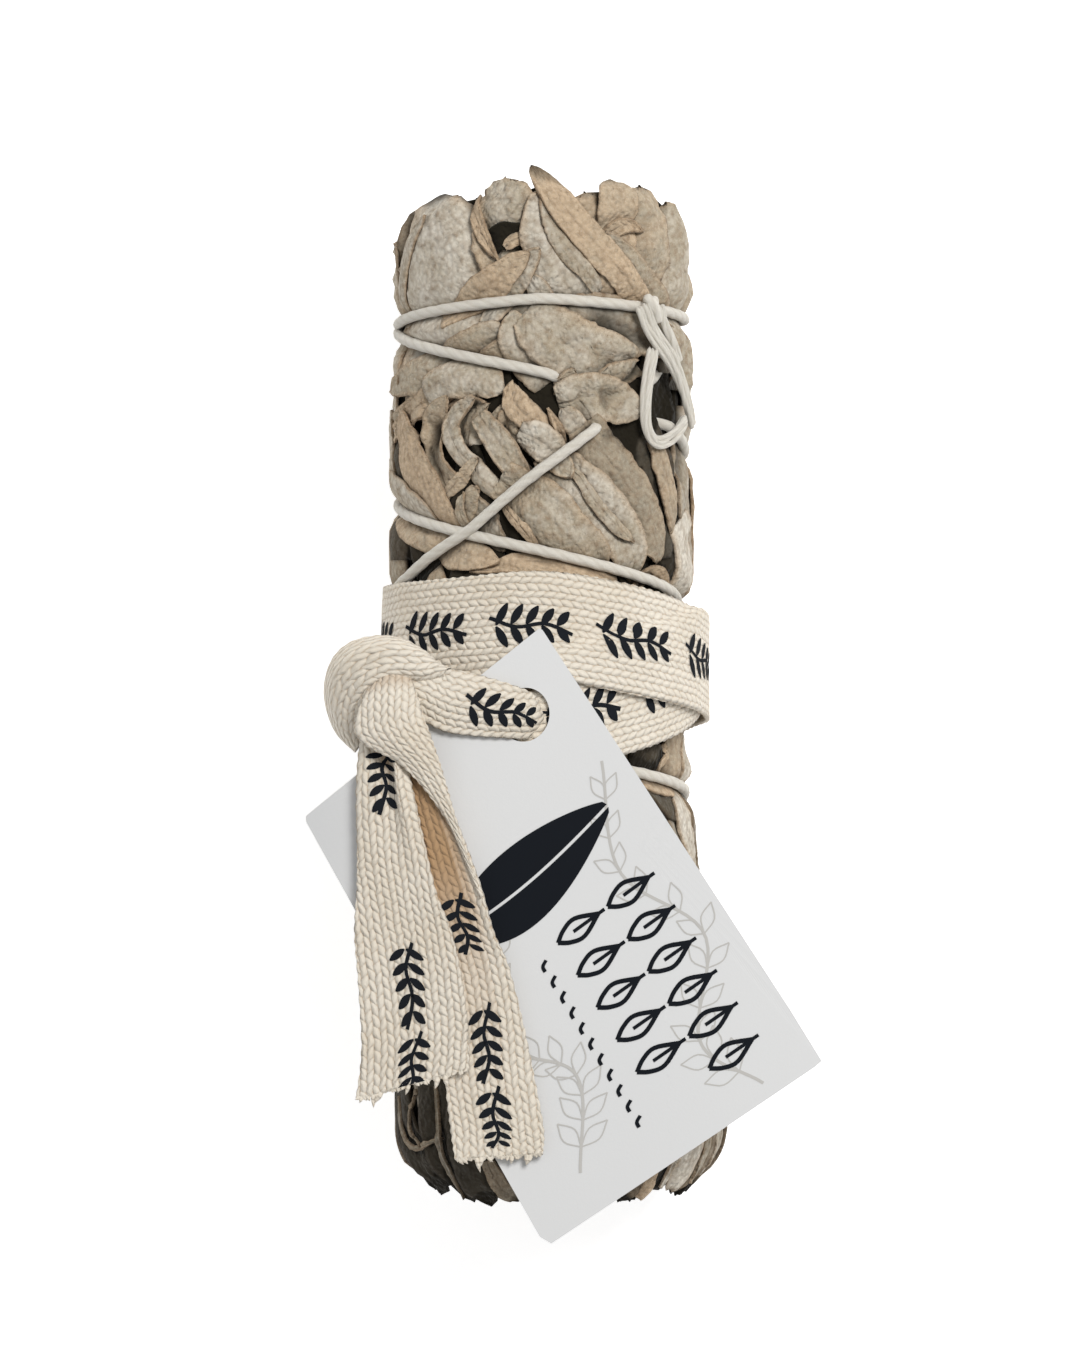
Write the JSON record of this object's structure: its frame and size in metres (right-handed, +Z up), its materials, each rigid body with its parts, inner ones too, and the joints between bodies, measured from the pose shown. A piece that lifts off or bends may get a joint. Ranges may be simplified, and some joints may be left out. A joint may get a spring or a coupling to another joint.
{
  "type": "dried sage bunch",
  "caption": "Dried sage bunch lying on its back, wound with twine, tied with a wide cotton tape that carries a card tag.",
  "frame": {"origin": "centre of the flat underside of the tape band, on the surface that the bunch lies on", "axes": "+Y along the bunch towards the leaf tips, +Z up, +X to the right as seen from above"},
  "size_m": [0.0726, 0.1524, 0.0508],
  "materials": {
    "dried_leaf": "matte",
    "woody_stem": "matte",
    "twine": "matte",
    "tape": "matte",
    "card": "matte"
  },
  "bodies": {
    "root": {"sage_leaves": "dried_leaf", "sage_stem_1": "woody_stem", "sage_stem_2": "woody_stem", "sage_stem_3": "woody_stem", "sage_stem_4": "woody_stem", "sage_stem_5": "woody_stem", "sage_stem_6": "woody_stem", "cotton_twine": "twine", "cotton_tape": "tape", "paper_tag": "card"}
  },
  "joints": []
}
